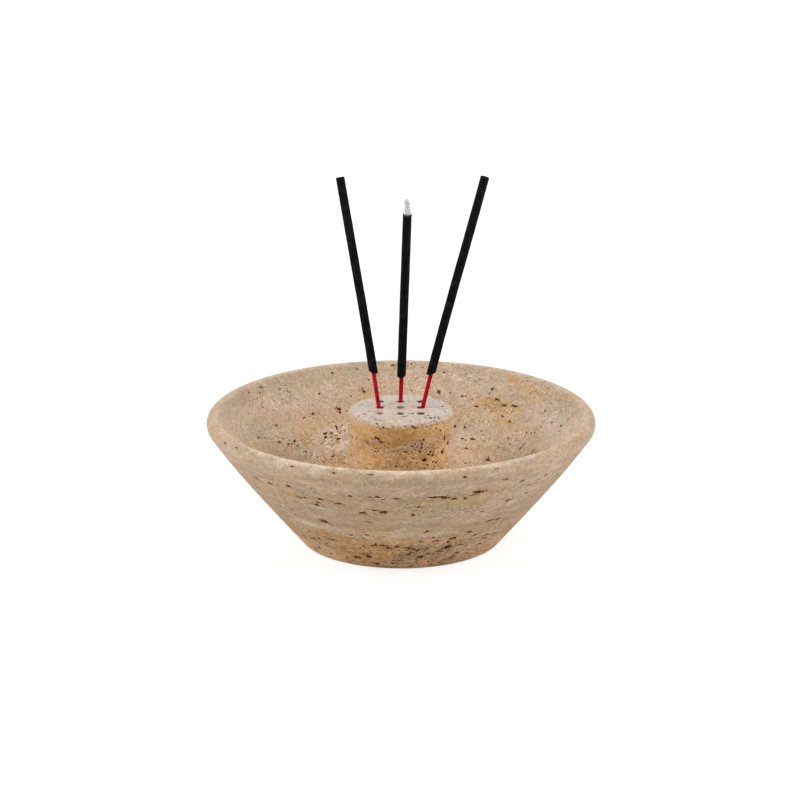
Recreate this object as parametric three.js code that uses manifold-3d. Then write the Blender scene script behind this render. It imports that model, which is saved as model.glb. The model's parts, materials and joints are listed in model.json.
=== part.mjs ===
// A turned travertine bowl with a round stone post in the middle, and three incense sticks that
// stand in holes drilled in the post. Millimetres, +Z up, front towards -Y. The origin is the
// centre of the face that the bowl stands on.
import * as THREE from "three";
import { mergeVertices } from "three/addons/utils/BufferGeometryUtils.js";
import Module from "manifold-3d";

const wasm = await Module();
wasm.setup();

// Bowl
const RIM_DIAMETER = 120;
const BOWL_HEIGHT = 40;
const LIP_THICKNESS = 5; // the rim is a full round of this thickness
const OUTER_SLOPE_AT_LIP = 55.7; // degrees above the table; the wall swells slightly outwards
const OUTER_SLOPE_AT_BASE = 49.9;
const BASE_DIAMETER = 60.4; // the flat that is ground on the underside
const BASE_EDGE_RADIUS = 1.4;
const INNER_SLOPE = 50; // the wall thickens towards the floor
const FLOOR_THICKNESS = 9;
const FLOOR_BLEND_RADIUS = 22;
const BOWL_SIDES = 84;

// Post, set in a round recess in the bowl's floor
const POST_DIAMETER = 32.4;
const POST_RISE = 1.2; // how far its top stands above the rim
const POST_TOP_RADIUS = 1.2;
const POST_FOOT_CHAMFER = 0.5;
const SEAT_DEPTH = 1.5;
const SEAT_CLEARANCE = 0.3;
const POST_SIDES = 72;

// Holes, three rows of three, drilled straight down a little off the post's centre
const HOLES_PER_SIDE = 3;
const HOLE_PITCH = 6.3;
const HOLE_DIAMETER = 2.6;
const HOLE_DEPTH = 5; // to the end of the full diameter
const HOLE_MOUTH_BREAK = 0.25; // the drill crumbles the stone at the mouth
const DRILL_POINT_ANGLE = 118;
const GRID_SHIFT_X = -0.2;
const GRID_SHIFT_Y = 1.7;
const HOLE_SIDES = 20;

// Sticks: a bamboo core, with a coating of incense paste rolled on all but its lower end
const CORE_DIAMETER = 1.3;
const COAT_DIAMETER = 2.65;
const COAT_CLEARANCE = 0.1; // between core and coating, all round
const COAT_TOP_COVER = 1; // paste over the core's upper end
const COAT_FOOT_RADIUS = 0.45;
const COAT_TOP_RADIUS = 0.2;
const CORE_END_CHAMFER = 0.12;
const STICK_CLEARANCE = 0.1; // between a core and the wall of its hole
const FOOT_GAP = 0.3; // between a core's foot and the hole's floor
const STICK_SIDES = 20;

// Ash left standing on the burnt end of the middle stick
const ASH_HEIGHT = 5;
const ASH_DIAMETER = 1.7;
const ASH_TIP_DIAMETER = 0.9;
const ASH_WAIST = 0.16; // share by which its swellings and waists depart from the taper
const ASH_BEND = 0.55; // how far its tip has sagged sideways
const ASH_GAP = 0.1;
const ASH_SIDES = 12;

// The sticks as they stand: hole by column (to +X) and row (to +Y), the compass direction that
// the stick leans in (degrees from +X), the bare core above the post, and the coating's length
const STICKS = [
  { name: "left_stick", column: -1, row: 0, direction: 131.5, bare: 11.2, coat: 60.8, ash: false },
  { name: "middle_stick", column: 0, row: 1, direction: 277, bare: 9.5, coat: 56.8, ash: true },
  { name: "right_stick", column: 1, row: 0, direction: 0, bare: 11.5, coat: 63.9, ash: false },
];

const radians = THREE.MathUtils.degToRad;
const postTop = BOWL_HEIGHT + POST_RISE;
const seatFloor = FLOOR_THICKNESS - SEAT_DEPTH;

// Finishes
const paleTravertine = new THREE.MeshStandardMaterial({ color: 0xb79b80, roughness: 0.62, metalness: 0 });
const goldenTravertine = new THREE.MeshStandardMaterial({ color: 0xb4966a, roughness: 0.66, metalness: 0 });
const redBamboo = new THREE.MeshStandardMaterial({ color: 0xb3192f, roughness: 0.55, metalness: 0 });
const charcoalPaste = new THREE.MeshStandardMaterial({ color: 0x161516, roughness: 0.92, metalness: 0 });
const whiteAsh = new THREE.MeshStandardMaterial({ color: 0xc9c9cb, roughness: 1, metalness: 0 });

const point = (x, y) => new THREE.Vector2(x, y);

// A point at a distance from another, in a direction given in degrees.
function polar(centre, distance, degrees) {
  return point(
    centre.x + distance * Math.cos(radians(degrees)),
    centre.y + distance * Math.sin(radians(degrees)),
  );
}

// Points along an arc of the section, from one direction to another, in degrees.
function arc(centre, radius, from, to, steps) {
  const curve = new THREE.ArcCurve(centre.x, centre.y, radius, radians(from), radians(to), to < from);
  return curve.getPoints(steps);
}

// A solid of revolution about Z from a section in (radius, height) that runs up the outside.
function revolve(section, sides) {
  const outline = section.filter((p, i) => i === 0 || p.distanceTo(section[i - 1]) > 1e-4);
  return new THREE.LatheGeometry(outline, sides).rotateX(Math.PI / 2);
}

function toSolid(geometry) {
  const bare = geometry.clone();
  bare.deleteAttribute("normal");
  bare.deleteAttribute("uv");
  const merged = mergeVertices(bare, 1e-4);
  const mesh = new wasm.Mesh({
    numProp: 3,
    vertProperties: new Float32Array(merged.attributes.position.array),
    triVerts: new Uint32Array(merged.index.array),
  });
  return new wasm.Manifold(mesh);
}

function toGeometry(solid) {
  const mesh = solid.getMesh();
  const geometry = new THREE.BufferGeometry();
  geometry.setAttribute("position", new THREE.BufferAttribute(mesh.vertProperties, 3));
  geometry.setIndex(new THREE.BufferAttribute(mesh.triVerts, 1));
  geometry.computeVertexNormals();
  return geometry;
}

function named(name, geometry, material) {
  const mesh = new THREE.Mesh(geometry, material);
  mesh.name = name;
  return mesh;
}

// The bowl's section: flat base, swelling outer wall, full round lip, straight inner wall that
// turns through a wide arc into the floor, and the recess that the post stands in.
function bowlSection() {
  const lipRadius = LIP_THICKNESS / 2;
  const lip = point(RIM_DIAMETER / 2 - lipRadius, BOWL_HEIGHT - lipRadius);
  const baseEdge = point(BASE_DIAMETER / 2, BASE_EDGE_RADIUS);
  const wallFoot = polar(baseEdge, BASE_EDGE_RADIUS, OUTER_SLOPE_AT_BASE - 90);
  const wallTop = polar(lip, lipRadius, OUTER_SLOPE_AT_LIP - 90);
  const handle = wallFoot.distanceTo(wallTop) / 3;
  const lowHandle = polar(wallFoot, handle, OUTER_SLOPE_AT_BASE);
  const highHandle = polar(wallTop, handle, OUTER_SLOPE_AT_LIP + 180);
  const innerTop = polar(lip, lipRadius, INNER_SLOPE + 90);
  const drop = innerTop.y - FLOOR_THICKNESS;
  const corner = innerTop.x - drop / Math.tan(radians(INNER_SLOPE));
  const flatEdge = corner - FLOOR_BLEND_RADIUS * Math.tan(radians(INNER_SLOPE / 2));
  const blendCentre = point(flatEdge, FLOOR_THICKNESS + FLOOR_BLEND_RADIUS);
  const seatRadius = POST_DIAMETER / 2 + SEAT_CLEARANCE;

  return [
    point(0, 0),
    ...arc(baseEdge, BASE_EDGE_RADIUS, -90, OUTER_SLOPE_AT_BASE - 90, 4),
    ...new THREE.CubicBezierCurve(wallFoot, lowHandle, highHandle, wallTop).getPoints(10),
    ...arc(lip, lipRadius, OUTER_SLOPE_AT_LIP - 90, 0, 3),
    ...arc(lip, lipRadius, 0, 90, 6),
    ...arc(lip, lipRadius, 90, INNER_SLOPE + 90, 4),
    ...arc(blendCentre, FLOOR_BLEND_RADIUS, INNER_SLOPE - 90, -90, 9),
    point(seatRadius, FLOOR_THICKNESS),
    point(seatRadius, seatFloor),
    point(0, seatFloor),
  ];
}

// The post's section, from its own foot at height 0.
function postSection() {
  const radius = POST_DIAMETER / 2;
  const height = postTop - seatFloor;
  const edge = point(radius - POST_TOP_RADIUS, height - POST_TOP_RADIUS);
  return [
    point(0, 0),
    point(radius - POST_FOOT_CHAMFER, 0),
    point(radius, POST_FOOT_CHAMFER),
    ...arc(edge, POST_TOP_RADIUS, 0, 90, 5),
    point(0, height),
  ];
}

// The drill's path, with the mouth at height 0 and a cone at the bottom.
function drillSection() {
  const radius = HOLE_DIAMETER / 2;
  const above = 1;
  return [
    point(0, -HOLE_DEPTH - radius / Math.tan(radians(DRILL_POINT_ANGLE / 2))),
    point(radius, -HOLE_DEPTH),
    point(radius, -HOLE_MOUTH_BREAK),
    point(radius + HOLE_MOUTH_BREAK, 0),
    point(radius + HOLE_MOUTH_BREAK, above),
    point(0, above),
  ];
}

// Where a hole's mouth lies, by its column and row counted from the middle of the grid.
function holeCentre(column, row) {
  return new THREE.Vector3(
    GRID_SHIFT_X + column * HOLE_PITCH,
    GRID_SHIFT_Y + row * HOLE_PITCH,
    postTop,
  );
}

function drilledPost() {
  let solid = toSolid(revolve(postSection(), POST_SIDES).translate(0, 0, seatFloor));
  const drill = revolve(drillSection(), HOLE_SIDES);
  const reach = (HOLES_PER_SIDE - 1) / 2;
  for (let column = -reach; column <= reach; column++) {
    for (let row = -reach; row <= reach; row++) {
      const mouth = holeCentre(column, row);
      solid = solid.subtract(toSolid(drill.clone().translate(mouth.x, mouth.y, mouth.z)));
    }
  }
  return toGeometry(solid);
}

// A loose stick falls over until it touches the hole's mouth on one side and the wall by its
// foot on the other, so the play between core and hole sets how far it leans.
function leanOfLooseStick() {
  const play = HOLE_DIAMETER - CORE_DIAMETER - 2 * STICK_CLEARANCE;
  const level = HOLE_DEPTH - FOOT_GAP;
  const firstGuess = Math.atan2(play, level - HOLE_MOUTH_BREAK);
  const footDepth = level - (CORE_DIAMETER / 2) * Math.sin(firstGuess);
  const lean = Math.atan2(play, footDepth - HOLE_MOUTH_BREAK);
  const offCentreAtMouth =
    HOLE_DIAMETER / 2 -
    STICK_CLEARANCE -
    CORE_DIAMETER / 2 / Math.cos(lean) +
    HOLE_MOUTH_BREAK * Math.tan(lean);
  return { lean, footDepth, offCentreAtMouth };
}

// Core from its foot to just under the coating's end; height 0 is the level of the post's top.
function coreSection(foot, top) {
  const radius = CORE_DIAMETER / 2;
  return [
    point(0, foot),
    point(radius - CORE_END_CHAMFER, foot),
    point(radius, foot + CORE_END_CHAMFER),
    point(radius, top - CORE_END_CHAMFER),
    point(radius - CORE_END_CHAMFER, top),
    point(0, top),
  ];
}

// Coating: a tube with a rounded lower end and a closed upper end.
function coatSection(foot, top) {
  const radius = COAT_DIAMETER / 2;
  const bore = CORE_DIAMETER / 2 + COAT_CLEARANCE;
  const boreEnd = top - COAT_TOP_COVER + COAT_CLEARANCE;
  const footEdge = point(radius - COAT_FOOT_RADIUS, foot + COAT_FOOT_RADIUS);
  const topEdge = point(radius - COAT_TOP_RADIUS, top - COAT_TOP_RADIUS);
  return [
    point(0, boreEnd),
    point(bore, boreEnd),
    point(bore, foot),
    ...arc(footEdge, COAT_FOOT_RADIUS, -90, 0, 4),
    ...arc(topEdge, COAT_TOP_RADIUS, 0, 90, 2),
    point(0, top),
  ];
}

// Ash: a column that narrows in uneven steps towards its tip and sags a little to one side.
function ashGeometry() {
  const rings = 6;
  const section = [point(0, 0)];
  for (let ring = 0; ring <= rings; ring++) {
    const share = ring / rings;
    const taper = THREE.MathUtils.lerp(ASH_DIAMETER, ASH_TIP_DIAMETER, share) / 2;
    const waist = 1 - ASH_WAIST * Math.sin(share * Math.PI * 3);
    section.push(point(taper * waist, share * ASH_HEIGHT));
  }
  section.push(point(0, ASH_HEIGHT + ASH_TIP_DIAMETER / 4));
  const geometry = revolve(section, ASH_SIDES);
  const position = geometry.attributes.position;
  for (let i = 0; i < position.count; i++) {
    const share = position.getZ(i) / ASH_HEIGHT;
    position.setX(i, position.getX(i) - ASH_BEND * share * share);
  }
  return geometry;
}

function stick({ name, column, row, direction, bare, coat, ash }) {
  const { lean, footDepth, offCentreAtMouth } = leanOfLooseStick();
  const foot = -footDepth / Math.cos(lean);
  const top = bare + coat;
  const group = new THREE.Group();
  group.add(
    named(name + "_core", revolve(coreSection(foot, top - COAT_TOP_COVER), STICK_SIDES), redBamboo),
    named(name + "_coat", revolve(coatSection(bare, top), STICK_SIDES), charcoalPaste),
  );
  if (ash) {
    const tip = named(name + "_ash", ashGeometry(), whiteAsh);
    tip.position.z = top + ASH_GAP;
    group.add(tip);
  }
  const heading = new THREE.Vector3(Math.cos(radians(direction)), Math.sin(radians(direction)), 0);
  group.position.copy(holeCentre(column, row)).addScaledVector(heading, offCentreAtMouth);
  const leanAxis = new THREE.Vector3(0, 0, 1).cross(heading);
  group.quaternion.setFromAxisAngle(leanAxis, lean);
  return group;
}

const holder = new THREE.Group();
holder.add(named("bowl", revolve(bowlSection(), BOWL_SIDES), paleTravertine));
holder.add(named("post", drilledPost(), goldenTravertine));
for (const place of STICKS) holder.add(stick(place));

export default holder;
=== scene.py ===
"""Looks of a travertine incense bowl: the turned bowl, its drilled post and three incense sticks."""

import json
import math
import random

import bmesh
import bpy
import numpy as np
from bpy.props import FloatProperty, FloatVectorProperty, IntProperty, PointerProperty
from mathutils import Matrix, Vector, noise
from mathutils.bvhtree import BVHTree


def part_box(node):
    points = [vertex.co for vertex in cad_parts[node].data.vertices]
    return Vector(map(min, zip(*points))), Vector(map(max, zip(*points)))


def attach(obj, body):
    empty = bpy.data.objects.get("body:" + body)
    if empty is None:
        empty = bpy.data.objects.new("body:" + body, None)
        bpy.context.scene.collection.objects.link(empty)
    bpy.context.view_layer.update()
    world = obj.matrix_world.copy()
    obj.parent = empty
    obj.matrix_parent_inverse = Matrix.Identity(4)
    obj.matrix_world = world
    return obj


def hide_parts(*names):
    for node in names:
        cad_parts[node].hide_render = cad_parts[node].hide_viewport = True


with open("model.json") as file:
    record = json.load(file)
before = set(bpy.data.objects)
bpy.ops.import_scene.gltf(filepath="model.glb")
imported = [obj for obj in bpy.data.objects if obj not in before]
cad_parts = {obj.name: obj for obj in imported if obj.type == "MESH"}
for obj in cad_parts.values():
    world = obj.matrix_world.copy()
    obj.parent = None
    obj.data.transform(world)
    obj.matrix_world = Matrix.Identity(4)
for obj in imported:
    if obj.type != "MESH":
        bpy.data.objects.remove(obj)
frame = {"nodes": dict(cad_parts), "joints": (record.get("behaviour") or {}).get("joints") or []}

bl_info = {
    "name": "Travertine incense bowl",
    "version": (1, 0, 0),
    "blender": (4, 5, 0),
    "location": "3D View > Sidebar > Incense bowl",
    "description": "Turns a travertine bowl and post, and stands three incense sticks in it",
    "category": "Add Mesh",
}

MM = 0.001
TURN = 2 * math.pi
UP = Vector((0, 0, 1))
# Points nearer than this are one point
TOUCHING = 1e-7


def linear(code):
    """An sRGB hex colour as linear red, green, blue and alpha."""
    shares = [int(code[i:i + 2], 16) / 255 for i in (0, 2, 4)]
    return (*[c / 12.92 if c <= 0.04045 else ((c + 0.055) / 1.055) ** 2.4 for c in shares], 1)


def length(name, description, millimetres):
    return FloatProperty(
        name=name, description=description, default=millimetres * MM, unit="LENGTH", precision=5
    )


def angle(name, description, degrees):
    return FloatProperty(
        name=name, description=description, default=math.radians(degrees), subtype="ANGLE"
    )


def colour(name, description, code):
    return FloatVectorProperty(
        name=name, description=description, default=linear(code), size=4, subtype="COLOR", min=0, max=1
    )


# Sizes and colours that a user would change


class BowlSizes(bpy.types.PropertyGroup):
    lip_thickness: length("Lip", "Thickness of the fully rounded rim", 5)
    outer_slope_at_lip: angle("Slope at lip", "Outer wall above the table, just under the lip", 55.7)
    outer_slope_at_base: angle("Slope at base", "Outer wall above the table, at its foot", 49.9)
    base_diameter: length("Base", "Diameter of the ground flat underneath", 60.4)
    base_edge_radius: length("Base edge", "Rounding between the flat and the wall", 1.4)
    inner_slope: angle("Inner slope", "Inner wall above the table", 50)
    floor_thickness: length("Floor", "Height of the inner floor above the table", 9)
    floor_blend_radius: length("Floor blend", "Radius that joins wall and floor", 22)
    seat_depth: length("Seat depth", "Depth of the recess for the post", 1.5)
    seat_clearance: length("Seat clearance", "Play round the post in its recess", 0.3)
    facet: length("Facet", "Size of the mesh's faces before the pits refine it", 1.1)


class PostSizes(bpy.types.PropertyGroup):
    top_radius: length("Top edge", "Rounding of the post's top edge", 1.2)
    foot_chamfer: length("Foot chamfer", "Chamfer at the post's foot", 0.5)
    cap_thickness: length("Cap", "Thickness of the white bed on top", 1.45)
    hole_pitch: length("Hole pitch", "Distance between holes, both ways", 6.3)
    hole_diameter: length("Hole", "Diameter of each hole", 2.6)
    hole_depth: length("Hole depth", "Depth of a hole's full diameter", 5)
    hole_shift_x: length("Shift X", "How far the middle hole lies off the post's axis", -0.2)
    hole_shift_y: length("Shift Y", "How far the middle hole lies off the post's axis", 1.7)
    drill_point: angle("Drill point", "Angle of the cone that the drill leaves", 118)
    facet: length("Facet", "Size of the mesh's faces before the pits refine it", 0.7)


class StickSizes(bpy.types.PropertyGroup):
    core_diameter: length("Core", "Thickness of the bamboo core", 1.3)
    coat_diameter: length("Coat", "Thickness over the coating", 2.72)
    sag: length("Sag", "How far a leaning stick droops from a straight line", 0.35)
    coat_foot_radius: length("Coat foot", "Rounding of the coating's lower end", 0.28)
    coat_top_radius: length("Coat top", "Rounding of the coating's upper end", 0.2)
    grit: length("Grit", "How far the paste's grains stand up and down", 0.035)
    lump: length("Lumps", "How far rolling by hand leaves the coating uneven", 0.05)
    fibre: length("Fibres", "Height of the ridges between bamboo fibres", 0.02)


class StoneLook(bpy.types.PropertyGroup):
    seed: IntProperty(name="Seed", description="Seed of the random pits", default=7, min=0)
    beige: colour("Beige", "Most of the bowl's beds", "BA9F84")
    sand: colour("Sand", "Greyer beds of the bowl", "B6997E")
    straw: colour("Straw", "Yellower beds of the bowl", "B89A74")
    pink: colour("Pink", "Rosy beds and clouds", "C1A48B")
    drab: colour("Drab", "The bed that the lip is cut in", "B2987E")
    rose: colour("Rose", "Pale rosy beds and clouds", "CBB09B")
    # Mist is also painted thinly over the whole inner wall, as painted light
    mist: colour("Mist", "Pale grey clouds on the right of the inner wall", "D0BFAF")
    peach: colour("Peach", "Warm clouds beside the post", "CBA883")
    tan: colour("Tan", "The bowl's lowest bed", "D1A87A")
    brown: colour("Brown", "Brown beds low in the bowl", "B88E5E")
    cream: colour("Cream", "Pale crystalline beds and veins", "D6C6B2")
    crystal: colour("Crystal", "Bright crystals round the pin pores", "E6D8C6")
    ochre: colour("Ochre", "Rust stained streaks", "B98D4B")
    olive: colour("Olive", "Greenish clouds", "A3936C")
    grey: colour("Grey", "Cool clouds", "A89F8D")
    gold: colour("Gold", "The post's main bed", "D8AB6D")
    umber: colour("Umber", "Brown bed under the post's cap", "BC9259")
    cap: colour("Cap", "Lower part of the pale bed on the post", "C8AE92")
    white: colour("White", "Top of the pale bed on the post", "B3A79D")
    rust: colour("Rust", "Reddish clouds low in the bowl, and the rims of the pits", "9C6433")
    clay: colour("Clay", "Brown clay in the pits and pores", "78481A")
    # Painted shade: the dark brown below is painted at the bottoms of the pits, darker the deeper they go
    pit_bottom_shade: colour("Soot", "Dirt at the bottom of the pits", "4F2C10")


class StickLook(bpy.types.PropertyGroup):
    red: colour("Red", "Dye on the bamboo", "BF0C29")
    dark_red: colour("Dark red", "Dye soaked deep into the fibres", "880619")
    charcoal: colour("Charcoal", "Dry incense paste", "0B0A0B")
    dust: colour("Dust", "Paler wood dust on the paste", "1E1C1D")
    ash: colour("Ash", "Burnt paste", "E0E0E4")
    char: colour("Char", "Half burnt paste under the ash", "4A4644")
    crack: colour("Crack", "Shade in the cracks between the flakes of ash", "8F8D8F")


class StageLook(bpy.types.PropertyGroup):
    floor: colour("Floor", "Pale floor that the light bounces off", "E9E7E4")
    front: FloatProperty(name="Front", description="Power of the front lamp", default=1.95, unit="POWER")
    left: FloatProperty(name="Left", description="Power of the left lamp", default=6.9, unit="POWER")
    right: FloatProperty(name="Right", description="Power of the right lamp", default=6.4, unit="POWER")
    back: FloatProperty(name="Back", description="Power of the back lamp", default=2.6, unit="POWER")
    sky: FloatProperty(name="Sky", description="Strength of the even light all round", default=0.29)


# Mesh making


def arc(centre, radius, start, stop, gap):
    """Points of an arc in (radius, height), from one angle to another, about a gap apart."""
    steps = max(2, round(abs(stop - start) * radius / gap))
    angles = [start + (stop - start) * i / steps for i in range(steps + 1)]
    return [centre + radius * Vector((math.cos(a), math.sin(a))) for a in angles]


def swell(start, start_angle, stop, stop_angle, gap):
    """Points of a cubic curve that leaves and arrives at the given angles."""
    handle = (stop - start).length / 3
    first = start + handle * Vector((math.cos(start_angle), math.sin(start_angle)))
    second = stop - handle * Vector((math.cos(stop_angle), math.sin(stop_angle)))
    steps = max(2, round((stop - start).length / gap))
    points = []
    for i in range(steps + 1):
        t = i / steps
        u = 1 - t
        points.append(u**3 * start + 3 * u * u * t * first + 3 * u * t * t * second + t**3 * stop)
    return points


def turned(section, gap, steps):
    """A closed solid of revolution from a section in (radius, height), with edges about a gap long."""
    bm = bmesh.new()
    points = [section[0]]
    for corner in section[1:]:
        start = points[-1]
        cuts = max(1, round((corner - start).length / gap))
        if (corner - start).length > TOUCHING:
            points += [start.lerp(corner, i / cuts) for i in range(1, cuts + 1)]
    verts = [bm.verts.new((p.x, 0, p.y)) for p in points]
    for low, high in zip(verts, verts[1:]):
        bm.edges.new((low, high))
    outline = bm.verts[:] + bm.edges[:]
    bmesh.ops.spin(
        bm, geom=outline, cent=(0, 0, 0), axis=UP, angle=TURN, steps=steps, use_merge=True
    )
    bmesh.ops.remove_doubles(bm, verts=bm.verts, dist=TOUCHING)
    bmesh.ops.recalc_face_normals(bm, faces=bm.faces)
    return bm


class Pit:
    """A void in the stone that the turning opened: where it is, how it lies and how deep it goes."""

    def __init__(self, centre, normal, along, length, height, depth):
        self.centre = centre
        self.normal = normal
        self.along = (along - along.dot(normal) * normal).normalized()
        self.across = normal.cross(self.along)
        self.half_length = length / 2
        self.half_height = height / 2
        self.depth = depth

    def spread(self, points, margin):
        """How far out each point lies, where 1 is the pit's rim moved out by the margin."""
        away = points - np.array(self.centre)
        along = away @ np.array(self.along) / (self.half_length + margin)
        across = away @ np.array(self.across) / (self.half_height + margin)
        # A pit opens only the wall that it lies in, and not the one behind it
        under = away @ np.array(self.normal) / (2 * MM)
        return np.sqrt(along**2 + across**2 + np.maximum(abs(under) - 0.4, 0) ** 2)


def refine(bm, pits, gap, rounds=3):
    """Halves the edges near each pit a few times, closer in each time."""
    for done in range(rounds):
        margin = gap * (1.0 if done == 0 else 0.6) / 2**done
        faces = bm.faces[:]
        centres = np.array([f.calc_center_median() for f in faces])
        near = np.zeros(len(faces), bool)
        for pit in pits:
            near |= pit.spread(centres, margin) < 1
        edges = {e for f, chosen in zip(faces, near) if chosen for e in f.edges}
        bmesh.ops.subdivide_edges(bm, edges=list(edges), cuts=1, use_grid_fill=True)


def ragged(point, size):
    """A share from about -1 to 1 that varies over the given size."""
    return noise.noise(point / size) + 0.5 * noise.noise(point / (size * 0.4) + UP)


# How far a pit's mouth strays from its oval, and the share of its half width taken by its wall
MOUTH_RAG = 0.75
WALL_SHARE = 0.28
# A pit this deep gets the full pit colours, down to the painted shade at its bottom
DARKEST_PIT_DEPTH = 0.45 * MM


def carve(bm, pits, gap):
    """Sinks the pits into the surface and writes how deep each point lies to the layer 'pit'."""
    refine(bm, pits, gap)
    bm.verts.ensure_lookup_table()
    bm.normal_update()
    points = np.array([v.co for v in bm.verts])
    sunk = np.zeros(len(points))
    for pit in pits:
        spread = pit.spread(points, 0)
        rag = 0.2 * MM + 0.5 * pit.half_height
        for i in np.nonzero(spread < 1.8)[0]:
            rim = spread[i] * (1 + MOUTH_RAG * ragged(Vector(points[i]), rag))
            share = min(1, max(0, (1 - rim) / WALL_SHARE))
            floor = 1 + 0.5 * ragged(Vector(points[i]), rag * 0.6)
            sunk[i] = max(sunk[i], pit.depth * share * share * (3 - 2 * share) * floor)
    layer = bm.verts.layers.float.new("pit")
    moves = [(v, v.normal.copy(), sunk[i]) for i, v in enumerate(bm.verts) if sunk[i] > 0]
    for vert, normal, depth in moves:
        vert.co -= normal * depth
        vert[layer] = min(1, depth / DARKEST_PIT_DEPTH)


def mark_inside(bm):
    """Writes to the layer 'inside' where the surface looks towards the axis."""
    bm.normal_update()
    layer = bm.verts.layers.float.new("inside")
    for vert in bm.verts:
        outward = Vector((vert.co.x, vert.co.y, 0)).normalized()
        vert[layer] = min(1, max(0, 0.5 - 1.5 * vert.normal.dot(outward)))


def piece(name, bm, material, body, replaces):
    """The bmesh as a finished piece that stands for CAD nodes and rides on their body."""
    mesh = bpy.data.meshes.new(name)
    bm.to_mesh(mesh)
    bm.free()
    mesh.shade_smooth()
    mesh.materials.append(material)
    obj = bpy.data.objects.new(name, mesh)
    bpy.context.scene.collection.objects.link(obj)
    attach(obj, body)
    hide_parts(*replaces)
    return obj


def cut(obj, cutter):
    """Takes the cutter's solid out of the piece."""
    modifier = obj.modifiers.new("cut", "BOOLEAN")
    modifier.operation = "DIFFERENCE"
    modifier.solver = "EXACT"
    modifier.object = cutter
    graph = bpy.context.evaluated_depsgraph_get()
    mesh = bpy.data.meshes.new_from_object(obj.evaluated_get(graph))
    obj.modifiers.clear()
    obj.data = mesh
    bpy.data.objects.remove(cutter)


# Materials


def add_node(tree, kind, inputs=None, stops=None, **settings):
    """A shader node with its settings, its inputs set or linked, and the stops of its colour
    ramp, the two ends first. A node given as an input hands over its first output in use."""
    made = tree.nodes.new("ShaderNode" + kind)
    for name, value in settings.items():
        setattr(made, name, value)
    for socket, value in (inputs or {}).items():
        if isinstance(value, bpy.types.Node):
            value = next(output for output in value.outputs if output.enabled)
        if isinstance(value, bpy.types.NodeSocket):
            tree.links.new(value, made.inputs[socket])
        else:
            made.inputs[socket].default_value = value
    for i, (position, shade) in enumerate(stops or ()):
        ramp = made.color_ramp.elements
        stop = ramp[i] if i < 2 else ramp.new(position)
        stop.position = position
        stop.color = shade
    return made


def new_material(name):
    material = bpy.data.materials.new(name)
    material.use_nodes = True
    material.node_tree.nodes.clear()
    return material, material.node_tree


def in_millimetres(tree):
    """Object coordinates in millimetres."""
    here = add_node(tree, "TexCoord").outputs["Object"]
    return add_node(tree, "VectorMath", {0: here, "Scale": 1 / MM}, operation="SCALE")


def grey(share):
    return (share, share, share, 1)


def in_view(tree):
    """1 where the camera looks, directly or through a reflection or glass, and otherwise 0."""
    path = add_node(tree, "LightPath").outputs
    seen = path["Is Camera Ray"]
    for ray in ("Is Glossy Ray", "Is Transmission Ray"):
        seen = add_node(tree, "Math", {0: seen, 1: path[ray]}, operation="MAXIMUM")
    return seen


class Patch:
    """A cloud of another colour in the stone, given by compass angle, distance from the axis and
    height, with its half width along the wall and its half height, in degrees and millimetres.
    Pores says how much more open it is than the stone round it."""

    def __init__(self, degrees, reach, height, half_width, half_height, shade, strength, pores=0):
        self.turn = math.radians(degrees)
        self.centre = (reach * math.cos(self.turn), reach * math.sin(self.turn), height)
        self.radii = (min(half_width, 5), half_width, half_height)
        self.shade = shade
        self.strength = strength
        self.pores = pores


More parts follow.
